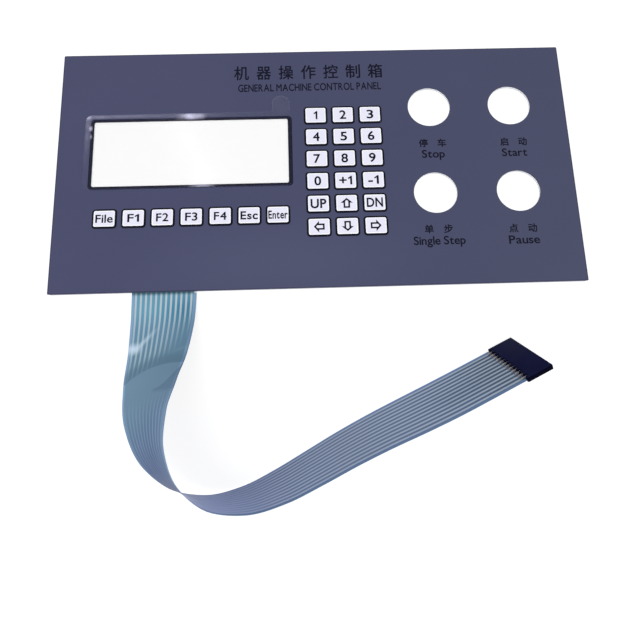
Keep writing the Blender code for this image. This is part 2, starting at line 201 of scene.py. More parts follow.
def colour(red, green, blue):
    """The linear colour for an everyday 0 to 255 one."""
    shares = [value / 255 for value in (red, green, blue)]
    linear = [s / 12.92 if s <= 0.04045 else ((s + 0.055) / 1.055) ** 2.4 for s in shares]
    return (*linear, 1.0)


def sum_of(node, operation, first, second):
    """The output of a Math node."""
    return node("ShaderNodeMath", operation=operation, links=((0, first), (1, second))).outputs[0]


def mix(node, share, first, second):
    """The output of a colour Mix node."""
    mixer = node("ShaderNodeMix", data_type="RGBA", links=((0, share), (6, first), (7, second)))
    return mixer.outputs[2]


def ramp(node, source, low, high):
    """0 below low and 1 above high, smooth between them."""
    stepped = node("ShaderNodeMapRange", interpolation_type="SMOOTHSTEP",
                   links=(("Value", source), ("From Min", low), ("From Max", high)))
    return stepped.outputs["Result"]


def near(node, source, centre, reach):
    """1 at a value, falling smoothly to 0 at a distance from it."""
    away = sum_of(node, "ABSOLUTE", sum_of(node, "SUBTRACT", source, centre), 0.0)
    return sum_of(node, "SUBTRACT", 1.0, ramp(node, away, 0.0, reach))


def colours_along(node, distance, stops):
    """A colour that changes along the strip: stops are millimetres and the colour there."""
    share = sum_of(node, "DIVIDE", distance, TAIL_LENGTH)
    bar = node("ShaderNodeValToRGB", links=(("Fac", share),))
    elements = bar.color_ramp.elements
    for i, (millimetres, tint) in enumerate(stops):
        place = millimetres / 1000 / TAIL_LENGTH
        element = elements[i] if i < 2 else elements.new(place)
        element.position = place
        element.color = colour(*tint)
    return bar.outputs["Color"]


def strip_material(name, track_width, gaps, tracks, margins, gap_tints=(), light_and_shade_patches=(), marks=()):
    """Printed film: silver tracks at an even pitch, with a plain margin along each edge, lightened there by a painted
    highlight.
    Past the first bend a painted reflection hides the tracks, from a sharp edge until they show again further on.
    Gap tints lie under the tracks and marks over them, each round a place, and a patch lies between two bowed lines
    across the strip; the marks and patches are mostly painted light and shade."""
    made, tree, shader, node = new_material(name)
    mapped = node("ShaderNodeUVMap", uv_map="strip").outputs["UV"]
    split = node("ShaderNodeSeparateXYZ", links=((0, mapped),))
    share, along = split.outputs["X"], split.outputs["Y"]
    across = sum_of(node, "MULTIPLY", share, TAIL_WIDTH)
    first_gap = (TAIL_WIDTH - TRACKS * TRACK_PITCH) / 2 - TRACK_SHIFT
    in_pitch = sum_of(node, "PINGPONG", sum_of(node, "SUBTRACT", across, first_gap), TRACK_PITCH / 2)
    soft_edge = TRACK_PITCH * 0.06
    track_start = (TRACK_PITCH - track_width) / 2
    on_track = ramp(node, in_pitch, track_start - soft_edge, track_start + soft_edge)
    from_middle = sum_of(node, "ABSOLUTE", sum_of(node, "SUBTRACT", across, TAIL_WIDTH / 2 - TRACK_SHIFT), 0.0)
    tracks_end = TRACKS * TRACK_PITCH / 2 - track_start / 2
    in_margin = ramp(node, from_middle, tracks_end - soft_edge, tracks_end + soft_edge)
    place = node("ShaderNodeTexCoord").outputs["Object"]
    blotches = node("ShaderNodeTexNoise", links=(
        ("Vector", place), ("Scale", 45.0), ("Detail", 3.0))).outputs["Fac"]

    def slanted(slant, bow=0.0):
        steepness = sum_of(node, "ADD", sum_of(node, "MULTIPLY", share, bow), slant)
        return sum_of(node, "ADD", along, sum_of(node, "MULTIPLY", share, steepness))

    def beyond(slant, bow, start, softness):
        return ramp(node, slanted(slant, bow), start, start + softness)

    def painted(spots, below):
        for centre, reach, slant, share_centre, share_reach, strength, tint in spots:
            amount = sum_of(node, "MULTIPLY", near(node, slanted(slant), centre, reach),
                            near(node, share, share_centre, share_reach))
            below = mix(node, sum_of(node, "MULTIPLY", amount, strength), below, colour(*tint))
        return below

    # Painted reflection: how far the wash has grown and reached its sharp edge; the tracks show only outside it.
    washed_out = ramp(node, slanted(*REFLECTION_SLANT), *REFLECTION_GROWS)
    stepped = ramp(node, slanted(*REFLECTION_EDGE_SLANT), *REFLECTION_EDGE)
    unwashed = sum_of(node, "MULTIPLY", sum_of(node, "SUBTRACT", 1.0, washed_out),
                         sum_of(node, "SUBTRACT", 1.0, stepped))
    shown = sum_of(node, "MAXIMUM", unwashed, ramp(node, along, *REFLECTION_ENDS))
    plain = sum_of(node, "MULTIPLY", shown, sum_of(node, "SUBTRACT", 1.0, in_margin))
    printed = mix(node, sum_of(node, "MULTIPLY", on_track, plain),
                  painted(gap_tints, colours_along(node, along, gaps)), colours_along(node, along, tracks))
    edge = mix(node, ramp(node, share, 0.4, 0.6), colour(*margins[0]), colour(*margins[1]))
    printed = mix(node, sum_of(node, "MULTIPLY", in_margin, 0.85), printed, edge)
    for first, last, share_from, strength, tint in light_and_shade_patches:
        amount = sum_of(node, "MULTIPLY", beyond(*first), sum_of(node, "SUBTRACT", 1.0, beyond(*last)))
        amount = sum_of(node, "MULTIPLY", amount, ramp(node, share, share_from, share_from + 0.08))
        printed = mix(node, sum_of(node, "MULTIPLY", amount, strength), printed, colour(*tint))
    printed = painted(marks, printed)
    varied = mix(node, sum_of(node, "MULTIPLY", blotches, 0.06), printed, colour(60, 90, 120))
    tree.links.new(varied, shader.inputs["Base Color"])
    worn = node("ShaderNodeMapRange", links=(("Value", blotches), ("To Min", 0.22), ("To Max", 0.36)))
    tree.links.new(worn.outputs["Result"], shader.inputs["Roughness"])
    raised = node("ShaderNodeBump", links=(("Height", on_track), ("Strength", 0.25), ("Distance", 0.00003)))
    tree.links.new(raised.outputs["Normal"], shader.inputs["Normal"])
    shader.inputs["Specular IOR Level"].default_value = 0.006
    return made


rings = tail_frames()
flat_tail = bpy.data.objects.new("flat_tail", tail_mesh(rings))
bpy.context.scene.collection.objects.link(flat_tail)
flat_tail.data.set_sharp_from_angle(angle=math.radians(50))
# The colour stops along each side are fitted to the strip as it lies, so beside the print's own tone they carry painted
# light and shade: the print side darkens steeply to painted shade towards 106 mm, where the strip turns onto its edge,
# and the margins are lightened as a painted highlight along the edges.
flat_tail.data.materials.append(strip_material(
    "tail_plain_side", TRACK_WIDTH,
    gaps=((0, (92, 112, 150)), (62, (96, 116, 154)), (95, (144, 157, 203)), (123, (158, 172, 218)), (140, (138, 152, 192)), (155, (118, 132, 165)),
          (187, (114, 128, 156)), (219, (106, 123, 150)), (251, (93, 110, 137)), (268, (80, 95, 117))),
    tracks=((0, (158, 174, 202)), (62, (150, 167, 200)), (95, (147, 161, 206)), (123, (163, 177, 223)), (140, (164, 178, 214)), (155, (171, 186, 217)),
            (187, (165, 180, 206)), (219, (168, 182, 207)), (251, (168, 182, 203)), (268, (163, 176, 192))),
    margins=((116, 146, 194), (106, 131, 167)),
    # A painted shade darkens the middle of the plain side near its end at the connector.
    marks=((0.2540, 0.0300, 0.010, 0.55, 0.36, 0.14, (40, 54, 74)),)))
flat_tail.data.materials.append(strip_material(
    "tail_print_side", TRACK_WIDTH_ABOVE,
    gaps=((0, (101, 148, 172)), (9, (97, 153, 178)), (20, (100, 137, 164)), (34, (101, 132, 154)),
          (48, (104, 133, 156)), (62, (102, 130, 153)), (80, (96, 116, 145)), (90, (88, 104, 137)),
          (99, (82, 98, 135)), (106, (24, 46, 102))),
    tracks=((0, (180, 192, 199)), (9, (178, 188, 195)), (22, (155, 178, 192)), (34, (154, 179, 192)),
            (48, (106, 135, 158)), (62, (114, 143, 167)), (80, (112, 134, 163)), (90, (101, 117, 152)),
            (99, (86, 103, 141)), (106, (28, 50, 108))),
    margins=((132, 162, 194), (128, 156, 189)),
    # Gap tints: deeper teal on the right near the exit, and darker blue on the right round 82 mm.
    gap_tints=((0.0100, 0.0130, 0.0, 0.85, 0.60, 0.80, (54, 116, 148)),
            (0.0820, 0.0340, 0.0, 1.0, 0.65, 0.75, (58, 76, 108))),
    # Patches: painted shade just above the sharp edge of the painted reflection, painted light for some way below it,
    # and a darker crescent on the right.
    light_and_shade_patches=(((0.022, -0.016, 0.0400, 0.0060), (0.022, -0.016, 0.0483, 0.0010), -0.1, 0.45, (80, 110, 130)),
             ((0.022, -0.016, 0.0485, 0.0012), (0.0, 0.0, 0.0560, 0.0200), -0.1, 0.18, (136, 166, 190)),
             ((-0.0992, 0.080, 0.0240, 0.0008), (-0.0081, 0.0, 0.0500, 0.0030), 0.55, 0.50, (76, 106, 128))),
    # Marks: painted highlights at the left near 30 mm and in a streak up to the right near 35 mm, a thin lighter line
    # at 42 mm on the right, the panel's painted shadow where the tail leaves, a painted highlight at the exit's right
    # corner, painted shade on the right near 22 mm, painted light on the right near 78 mm, and darker lines along the
    # left and right edges.
    marks=((0.0297, 0.0042, 0.0, 0.08, 0.20, 0.85, (200, 220, 238)),
           (0.0345, 0.0028, 0.033, 0.24, 0.26, 0.50, (196, 216, 230)),
           (0.0417, 0.0013, 0.0096, 0.88, 0.22, 0.40, (124, 154, 170)),
           (0.0, 0.0022, 0.0, 0.5, 3.0, 0.80, (14, 54, 68)),
           (0.0004, 0.0012, 0.0, 0.99, 0.05, 0.85, (224, 232, 246)),
           (0.0220, 0.0200, 0.0, 1.0, 0.55, 0.45, (88, 122, 144)),
           (0.0780, 0.0360, 0.0, 1.0, 0.60, 0.50, (132, 158, 188)),
           (0.0860, 0.0360, 0.0, 0.0, 0.05, 0.60, (80, 104, 136)),
           (0.0450, 0.0500, 0.0, 1.0, 0.022, 0.80, (74, 102, 140)))))
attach(flat_tail, "root")
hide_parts("circuit_tail")


# Connector housing
# A flat black nylon moulding for twelve crimped contacts. The strip's end enters notches along one
# long side, and a row of pins enters the cavities on the other.
HOUSING_WIDTH = 0.0330
HOUSING_LENGTH = 0.0134
HOUSING_THICK = 0.0026
HOUSING_EDGE = 0.00022
ENTRY_GAP = 0.0003
CAVITY_WIDTH = 0.0018
CAVITY_HEIGHT = 0.0016
NOTCH_WIDTH = 0.0015
NOTCH_DEPTH = 0.0016
PIN_GUIDE = 0.00035
LATCH_WINDOW = (0.0011, 0.0016)
LATCH_FROM_END = 0.0052

middle, ahead, across = rings[-1]
upward = across.cross(ahead)
turned = Matrix((ahead, upward.cross(ahead), upward)).transposed().to_4x4()
CONNECTOR_FRAME = Matrix.Translation(middle + ahead * ENTRY_GAP) @ turned
WAY_CENTRES = [(way - (TRACKS - 1) / 2) * TRACK_PITCH for way in range(TRACKS)]


def only(obj):
    """Leaves one object selected and active."""
    bpy.ops.object.select_all(action="DESELECT")
    obj.select_set(True)
    bpy.context.view_layer.objects.active = obj


def block(name, low, high):
    """A cube primitive between two corners, with its place in its mesh."""
    bpy.ops.object.select_all(action="DESELECT")
    low, high = Vector(low), Vector(high)
    bpy.ops.mesh.primitive_cube_add(size=1, location=(low + high) / 2, scale=high - low)
    made = bpy.context.object
    made.name = name
    made.data.name = name
    bpy.ops.object.transform_apply(location=True, rotation=True, scale=True)
    return made


def select_faces(obj, wanted):
    """Enters edit mode with only the faces that wanted() picks, by centre and normal, selected."""
    only(obj)
    bpy.ops.object.mode_set(mode="EDIT")
    bpy.ops.mesh.select_mode(type="FACE")
    bpy.ops.mesh.select_all(action="DESELECT")
    bpy.ops.object.mode_set(mode="OBJECT")
    for face in obj.data.polygons:
        face.select = wanted(face.center, face.normal)
    bpy.ops.object.mode_set(mode="EDIT")


def select_edges(obj, wanted):
    """Enters edit mode with only the edges that wanted() picks, by their two ends, selected."""
    only(obj)
    bpy.ops.object.mode_set(mode="EDIT")
    bpy.ops.mesh.select_mode(type="EDGE")
    bpy.ops.mesh.select_all(action="DESELECT")
    bpy.ops.object.mode_set(mode="OBJECT")
    points = obj.data.vertices
    for edge in obj.data.edges:
        edge.select = wanted(points[edge.vertices[0]].co, points[edge.vertices[1]].co)
    bpy.ops.object.mode_set(mode="EDIT")


def bevel_edges(obj, wanted, width, segments):
    select_edges(obj, wanted)
    bpy.ops.mesh.bevel(offset=width, segments=segments, affect="EDGES", clamp_overlap=True)
    bpy.ops.object.mode_set(mode="OBJECT")


def boolean(obj, other, operation):
    """Joins another object to one, or cuts it out, and removes the other."""
    only(obj)
    modifier = obj.modifiers.new("boolean", "BOOLEAN")
    modifier.operation = operation
    modifier.solver = "EXACT"
    modifier.object = other
    bpy.ops.object.modifier_apply(modifier=modifier.name)
    bpy.data.objects.remove(other, do_unlink=True)


def join(name, pieces):
    """One object made of several."""
    bpy.ops.object.select_all(action="DESELECT")
    for piece in pieces:
        piece.select_set(True)
    bpy.context.view_layer.objects.active = pieces[0]
    bpy.ops.object.join()
    joined = bpy.context.object
    joined.name = name
    joined.data.name = name
    return joined


def finish_mesh(obj, material, slot, *stood_for, angle=35):
    """Shading, material and body of a finished piece, and the solids that it stands for, which are hidden. The slot is
    not used.
    """
    only(obj)
    bpy.ops.object.shade_smooth_by_angle(angle=math.radians(angle))
    if material:
        obj.data.materials.clear()
        obj.data.materials.append(material)
    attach(obj, "root")
    if stood_for:
        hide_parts(*stood_for)


def into_connector(obj):
    """Takes a piece from the connector's own axes to its place."""
    only(obj)
    obj.matrix_world = CONNECTOR_FRAME
    bpy.ops.object.transform_apply(location=True, rotation=True, scale=True)


def moulded_nylon(name, first, second):
    """Black nylon with a fine spark-eroded grain and faint flow marks."""
    made, tree, shader, node = new_material(name)
    place = node("ShaderNodeTexCoord").outputs["Object"]
    grain = node("ShaderNodeTexNoise", links=(("Vector", place), ("Scale", 2600.0), ("Detail", 2.0)))
    flow = node("ShaderNodeTexNoise", links=(("Vector", place), ("Scale", 90.0), ("Detail", 3.0)))
    tint = mix(node, ramp(node, flow.outputs["Fac"], 0.40, 0.66), first, second)
    tree.links.new(tint, shader.inputs["Base Color"])
    polish = node("ShaderNodeMapRange", links=(
        ("Value", grain.outputs["Fac"]), ("To Min", 0.34), ("To Max", 0.50)))
    tree.links.new(polish.outputs["Result"], shader.inputs["Roughness"])
    bump = node("ShaderNodeBump", links=(
        ("Height", grain.outputs["Fac"]), ("Strength", 0.2), ("Distance", 0.00002)))
    tree.links.new(bump.outputs["Normal"], shader.inputs["Normal"])
    shader.inputs["Specular IOR Level"].default_value = 0.01
    return made


half_width, half_thick = HOUSING_WIDTH / 2, HOUSING_THICK / 2
housing = block("crimp_housing", (0, -half_width, -half_thick), (HOUSING_LENGTH, half_width, half_thick))
bevel_edges(housing, lambda a, b: True, HOUSING_EDGE, 2)
hollows = []
for y in WAY_CENTRES:
    half = CAVITY_WIDTH / 2
    low, high = y - half, y + half
    hollows.append(block("cavity", (-NOTCH_DEPTH, low, -CAVITY_HEIGHT / 2),
                         (HOUSING_LENGTH - PIN_GUIDE, high, CAVITY_HEIGHT / 2)))
boolean(housing, join("cavities", hollows), "DIFFERENCE")
mouths = []
for y in WAY_CENTRES:
    half = CAVITY_WIDTH / 2 - PIN_GUIDE / 2
    mouth = block("mouth", (HOUSING_LENGTH - 2 * PIN_GUIDE, y - half, -half), (HOUSING_LENGTH, y + half, half))
    select_faces(mouth, lambda centre, normal: normal.x > 0.5)
    bpy.ops.mesh.extrude_region_move(TRANSFORM_OT_translate={"value": (PIN_GUIDE, 0, 0)})
    bpy.ops.transform.resize(value=(1, 1.5, 1.5))
    bpy.ops.object.mode_set(mode="OBJECT")
    mouths.append(mouth)
boolean(housing, join("mouths", mouths), "DIFFERENCE")
notches = []
for y in WAY_CENTRES:
    half = NOTCH_WIDTH / 2
    notch = block("notch", (-NOTCH_DEPTH, y - half, 0), (NOTCH_DEPTH * 0.55, y + half, HOUSING_THICK))
    select_faces(notch, lambda centre, normal: normal.x > 0.5)
    bpy.ops.mesh.extrude_region_move(TRANSFORM_OT_translate={"value": (NOTCH_DEPTH * 0.45, 0, 0)})
    bpy.ops.transform.resize(value=(1, 0.35, 1))
    bpy.ops.object.mode_set(mode="OBJECT")
    notches.append(notch)
boolean(housing, join("notches", notches), "DIFFERENCE")
windows = []
for y in WAY_CENTRES:
    start = HOUSING_LENGTH - LATCH_FROM_END
    windows.append(block("window", (start, y - LATCH_WINDOW[0] / 2, -HOUSING_THICK),
                         (start + LATCH_WINDOW[1], y + LATCH_WINDOW[0] / 2, 0)))
boolean(housing, join("windows", windows), "DIFFERENCE")
housing.data.materials.clear()
housing.data.materials.append(moulded_nylon("moulded_nylon", colour(20, 23, 54), colour(23, 26, 57)))
# The side faces take a darker copy of the nylon as painted shade.
housing.data.materials.append(moulded_nylon("moulded_nylon_shaded_sides", colour(5, 6, 22), colour(9, 10, 30)))
for face in housing.data.polygons:
    face.material_index = 0 if abs(face.normal.z) > 0.9 else 1
into_connector(housing)
finish_mesh(housing, None, "housing_nylon", "connector_housing")


# Crimped contacts
# Each contact is stamped from tinned strip: a flat tab whose teeth pierce the film and curl over the
# track, and a box with a slit in the housing that grips the pin.
CONTACT_REACH = 0.0020
CONTACT_TIP = 0.0010
CONTACT_STOCK = 0.00030
CONTACT_WIDTH = 0.0012
CRIMP_WIDTH = 0.00085
CONTACT_START = 0.0010
CONTACT_SHORT = 0.0010
CONTACT_CLEARANCE = 0.00015
TOOTH = (0.00045, 0.00014, 0.00022)


def tinned_metal():
    made, tree, shader, node = new_material("tinned_metal")
    place = node("ShaderNodeTexCoord").outputs["Object"]
    dull = node("ShaderNodeTexNoise", links=(("Vector", place), ("Scale", 700.0), ("Detail", 4.0)))
    tint = mix(node, dull.outputs["Fac"], colour(150, 146, 150), colour(182, 178, 180))
    tree.links.new(tint, shader.inputs["Base Color"])
    finish = node("ShaderNodeMapRange", links=(
        ("Value", dull.outputs["Fac"]), ("To Min", 0.28), ("To Max", 0.48)))
    tree.links.new(finish.outputs["Result"], shader.inputs["Roughness"])
    shader.inputs["Metallic"].default_value = 0.75
    return made


def contact(name, y):
    """A contact along the connector's own X axis, with its tab on the upper side of the film."""
    half = CONTACT_WIDTH / 2
    crimp_half = CRIMP_WIDTH / 2
    tab_low = TAIL_THICK / 2 + CONTACT_CLEARANCE
    tab_high = tab_low + CONTACT_STOCK
    body_half = CAVITY_HEIGHT / 2 - CONTACT_CLEARANCE
    tab = block(name, (-CONTACT_REACH + CONTACT_TIP, y - crimp_half, tab_low),
                (CONTACT_START, y + crimp_half, tab_high))
    select_faces(tab, lambda centre, normal: normal.x < -0.5)
    bpy.ops.mesh.extrude_region_move(TRANSFORM_OT_translate={"value": (-CONTACT_TIP, 0, 0)})
    bpy.ops.transform.resize(value=(1, 0.5, 0.5))
    bpy.ops.object.mode_set(mode="OBJECT")
    teeth = []
    for side in (-1, 1):
        for start in (-0.00115, -0.00045):
            length, width, height = TOOTH
            y_low = y + side * (crimp_half - width) - (width if side < 0 else 0)
            teeth.append(block("tooth", (start, y_low, tab_high - width / 2),
                               (start + length, y_low + width, tab_high + height)))
    for tooth in teeth:
        boolean(tab, tooth, "UNION")
    body = block("body", (CONTACT_START - CONTACT_STOCK, y - half, -body_half),
                 (HOUSING_LENGTH - CONTACT_SHORT, y + half, body_half))
    boolean(tab, body, "UNION")
    slit = block("slit", (HOUSING_LENGTH - 0.007, y - half * 2, -0.00035), (HOUSING_LENGTH, y + half * 2, 0.00035))
    boolean(tab, slit, "DIFFERENCE")
    into_connector(tab)
    bevel = tab.modifiers.new("bevel", "BEVEL")
    bevel.width = 0.00004
    bevel.segments = 2
    only(tab)
    bpy.ops.object.modifier_apply(modifier=bevel.name)
    return tab


tin = tinned_metal()
for number, y in enumerate(WAY_CENTRES):
    made = contact(f"crimp_contact_{number + 1}", y)
    finish_mesh(made, tin, "contact_tin", f"contact_{number + 1}")


# Floor and light
# A plain white table top under a soft studio sky that is bright near the horizon, with one large soft
# lamp over the camera and one narrow lamp behind the panel.
FLOOR_DROP = 0.0002
FLOOR_SIZE = 30.0
FLOOR_SHADE = 0.30
FLOOR_GLOW = 0.79
KEY_LAMP = {"place": (-0.7, -0.9, 1.5), "size": (1.2, 1.2), "power": 18.0}
FILL_LAMP = {"place": (1.0, -0.2, 1.3), "size": (1.0, 1.0), "power": 8.0}
STRIP_LAMP = {"place": (-0.262, 0.57, 1.0), "size": (0.035, 0.24), "power": 0.22}

bpy.ops.mesh.primitive_plane_add(size=FLOOR_SIZE, location=(0, 0, -FLOOR_DROP))
floor = bpy.context.object
floor.name = "floor"
paint, tree, shader, node = new_material("floor_white")
shader.inputs["Base Color"].default_value = (FLOOR_SHADE, FLOOR_SHADE, FLOOR_SHADE, 1)
shader.inputs["Roughness"].default_value = 0.9
shader.inputs["Specular IOR Level"].default_value = 0.0
rays = node("ShaderNodeLightPath")
seen = sum_of(node, "ADD", rays.outputs["Is Camera Ray"], rays.outputs["Is Glossy Ray"])
seen = sum_of(node, "ADD", seen, rays.outputs["Is Transmission Ray"])
spot = node("ShaderNodeTexCoord").outputs["Object"]
from_centre = node("ShaderNodeVectorMath", operation="LENGTH", links=((0, spot),)).outputs["Value"]
far_glow = sum_of(node, "MULTIPLY", ramp(node, from_centre, 0.6, 2.5), 1.0 - FLOOR_GLOW)
glow = node("ShaderNodeEmission", links=(("Color", (1, 1, 1, 1)), (
    "Strength", sum_of(node, "MULTIPLY", seen, sum_of(node, "ADD", far_glow, FLOOR_GLOW)))))
both = node("ShaderNodeAddShader", links=((0, shader.outputs[0]), (1, glow.outputs[0])))
tree.links.new(both.outputs[0], tree.nodes["Material Output"].inputs["Surface"])
floor.data.materials.append(paint)

world = bpy.data.worlds.new("studio")
bpy.context.scene.world = world
world.use_nodes = True
sky = world.node_tree
direction = sky.nodes.new("ShaderNodeTexCoord").outputs["Generated"]
height = sky.nodes.new("ShaderNodeSeparateXYZ")
sky.links.new(direction, height.inputs[0])
brightness = sky.nodes.new("ShaderNodeMapRange")
brightness.inputs["From Min"].default_value = 0.35
brightness.inputs["From Max"].default_value = 0.75
brightness.inputs["To Min"].default_value = 1.0
brightness.inputs["To Max"].default_value = 0.3
sky.links.new(height.outputs["Z"], brightness.inputs["Value"])
sky.links.new(brightness.outputs["Result"], sky.nodes["Background"].inputs["Strength"])
sky.nodes["Background"].inputs["Color"].default_value = (1, 1, 1, 1)

for name, lamp in (("key_lamp", KEY_LAMP), ("fill_lamp", FILL_LAMP), ("strip_lamp", STRIP_LAMP)):
    light = bpy.data.lights.new(name, "AREA")
    light.shape = "RECTANGLE"
    light.size, light.size_y = lamp["size"]
    light.energy = lamp["power"]
    stand = bpy.data.objects.new(name, light)
    bpy.context.scene.collection.objects.link(stand)
    stand.location = lamp["place"]
    stand.rotation_mode = "QUATERNION"
    stand.rotation_quaternion = (-Vector(lamp["place"])).to_track_quat("-Z", "Y")


# Printed top film
# One sheet of polyester with a fine matt hard coat, printed slate blue. The keys are embossed in it and
# are hollow behind, and four round holes are die cut for push buttons.
PANEL_WIDTH, PANEL_DEPTH = 0.2750, 0.1375
PANEL_CORNER = 0.0006
PRINT_EDGE = 0.0007
SHEET_LOW, SHEET_HIGH = 0.00099, 0.00124
INK = 0.00002
HOLE_RADIUS = 0.0115
HOLE_CENTRES = [(0.0847 + side_x * 0.02205, 0.0072 + side_y * 0.02535) for side_y in (1, -1) for side_x in (-1, 1)]
HOLE_SIDES = 96
WINDOW_CENTRE = (-0.0667, 0.0083)
WINDOW_SIZE = (0.1040, 0.0376)
WINDOW_CORNER = 0.0010
BORDER = {"left": 0.0019, "right": 0.0022, "low": 0.0018, "high": 0.0018, "corner": 0.0022}
BORDER_BAND = 0.0011
KEY_TOP = (0.0108, 0.0087)
KEY_SLOPE = 0.00045
KEY_RISE = 0.00045
KEY_CORNER = 0.0008
KEY_LINE = 0.00060
KEY_RIM = 0.00045
CORNER_STEPS = 6
FUNCTION_KEYS = [(-0.1108 + 0.0150 * number, -0.0287) for number in range(7)]
PAD_KEYS = [(0.0005 + 0.0148 * column, 0.0287 - 0.01294 * row) for row in range(6) for column in range(3)]


def plate(name, centre, size, corner, low, high, segments=6):
    """A flat plate with rounded corners."""
    x, y = centre
    half_x, half_y = size[0] / 2, size[1] / 2
    made = block(name, (x - half_x, y - half_y, low), (x + half_x, y + half_y, high))
    bevel_edges(made, lambda a, b: abs(a.z - b.z) > (high - low) / 2, corner, segments)
    return made


def past_outline(node, split):
    """How far a place is outside the panel's outline: less than nothing on the panel."""
    past_side = sum_of(node, "SUBTRACT", sum_of(node, "ABSOLUTE", split.outputs["X"], 0.0), PANEL_WIDTH / 2)
    past_end = sum_of(node, "SUBTRACT", sum_of(node, "ABSOLUTE", split.outputs["Y"], 0.0), PANEL_DEPTH / 2)
    return sum_of(node, "MAXIMUM", past_side, past_end)


def slate_ink():
    """Slate print under a hard coat with a fine grain. It is darker along the die-cut outline, darker
    towards the right as painted shade, and lighter in a painted patch of light at the front, left of the middle.
    """
    made, tree, shader, node = new_material("slate_ink")
    place = node("ShaderNodeTexCoord").outputs["Object"]
    grain = node("ShaderNodeTexNoise", links=(("Vector", place), ("Scale", 4200.0), ("Detail", 2.0)))
    cloud = node("ShaderNodeTexNoise", links=(("Vector", place), ("Scale", 14.0), ("Detail", 3.0)))
    split = node("ShaderNodeSeparateXYZ", links=((0, place),))
    even = mix(node, cloud.outputs["Fac"], colour(66, 69, 98), colour(74, 76, 106))
    # Painted shade darkens the slate towards the right, and a painted patch of light brightens it at the front, left of
    # the middle.
    side = ramp(node, split.outputs["X"], -PANEL_WIDTH / 2, PANEL_WIDTH / 2)
    shaded = mix(node, sum_of(node, "MULTIPLY", side, 0.5), even, colour(66, 70, 93))
    lit = sum_of(node, "MULTIPLY", near(node, split.outputs["X"], -0.02, 0.10),
                 near(node, split.outputs["Y"], -0.055, 0.035))
    brighter = mix(node, sum_of(node, "MULTIPLY", lit, 0.8), shaded, colour(78, 81, 109))
    speckled = mix(node, sum_of(node, "MULTIPLY", grain.outputs["Fac"], 0.10), brighter, colour(44, 46, 74))
    at_edge = ramp(node, past_outline(node, split), -PRINT_EDGE, -PRINT_EDGE / 3)
    edged = mix(node, sum_of(node, "MULTIPLY", at_edge, 0.8), speckled, colour(46, 48, 76))
    tree.links.new(edged, shader.inputs["Base Color"])
    matt = node("ShaderNodeMapRange", links=(
        ("Value", grain.outputs["Fac"]), ("To Min", 0.42), ("To Max", 0.56)))
    tree.links.new(matt.outputs["Result"], shader.inputs["Roughness"])
    bump = node("ShaderNodeBump", links=(
        ("Height", grain.outputs["Fac"]), ("Strength", 0.35), ("Distance", 0.00002)))
    tree.links.new(bump.outputs["Normal"], shader.inputs["Normal"])
    shader.inputs["Specular IOR Level"].default_value = 0.2
    return made


def cut_edge_with_shade(node, place, plain):
    """The colour of a cut edge: greyer all round the panel's outline, and dark teal as painted shade
    on the edge just above the tail where it leaves the panel."""
    split = node("ShaderNodeSeparateXYZ", links=((0, place),))
    greyed_at_outline = ramp(node, past_outline(node, split), -0.0003, -0.0001)
    plain = mix(node, greyed_at_outline, plain, colour(112, 114, 138))
    # Painted shade: dark teal on the cut edge just above the tail where it leaves the panel.
    from_middle = sum_of(node, "ABSOLUTE", sum_of(node, "SUBTRACT", split.outputs["X"], TAIL_START[0]), 0.0)
    beside = ramp(node, from_middle, TAIL_WIDTH / 2 - 0.0002, TAIL_WIDTH / 2 + 0.0002)
    behind = ramp(node, split.outputs["Y"], -PANEL_DEPTH / 2 + 0.0004, -PANEL_DEPTH / 2 + 0.0008)
    here = sum_of(node, "MULTIPLY", sum_of(node, "SUBTRACT", 1.0, beside), sum_of(node, "SUBTRACT", 1.0, behind))
    return mix(node, here, plain, colour(46, 84, 100))


def solid_ink(name, first, second, roughness):
    """A plain printed colour with a slight unevenness; its cut edge is greyer at the panel's outline and has painted
    shade over the tail.
    """
    made, tree, shader, node = new_material(name)
    place = node("ShaderNodeTexCoord").outputs["Object"]
    cloud = node("ShaderNodeTexNoise", links=(("Vector", place), ("Scale", 900.0), ("Detail", 3.0)))
    tint = cut_edge_with_shade(node, place, mix(node, cloud.outputs["Fac"], first, second))
    tree.links.new(tint, shader.inputs["Base Color"])
    matt = node("ShaderNodeMapRange", links=(
        ("Value", cloud.outputs["Fac"]), ("To Min", roughness - 0.05), ("To Max", roughness + 0.07)))
    tree.links.new(matt.outputs["Result"], shader.inputs["Roughness"])
    shader.inputs["Specular IOR Level"].default_value = 0.12
    return made


SLATE, LINE, BAND, RIM, FACE, CUT = range(6)
top_inks = [
    slate_ink(),
    solid_ink("navy_line_ink", colour(6, 8, 22), colour(13, 15, 31), 0.45),
    solid_ink("navy_band_ink", colour(13, 16, 42), colour(19, 22, 50), 0.45),
    solid_ink("white_rim_ink", colour(248, 248, 252), colour(252, 252, 255), 0.4),
    solid_ink("key_face_ink", colour(222, 222, 238), colour(228, 228, 243), 0.42),
    solid_ink("cut_polyester", colour(243, 244, 248), colour(250, 250, 254), 0.35),
]


def paint_faces(obj, pick):
    """Gives an object the inks and the cut edge's finish, and each face the one that pick() names."""
    obj.data.materials.clear()
    for ink in top_inks:
        obj.data.materials.append(ink)
    for face in obj.data.polygons:
        face.material_index = pick(face.center, face.normal)


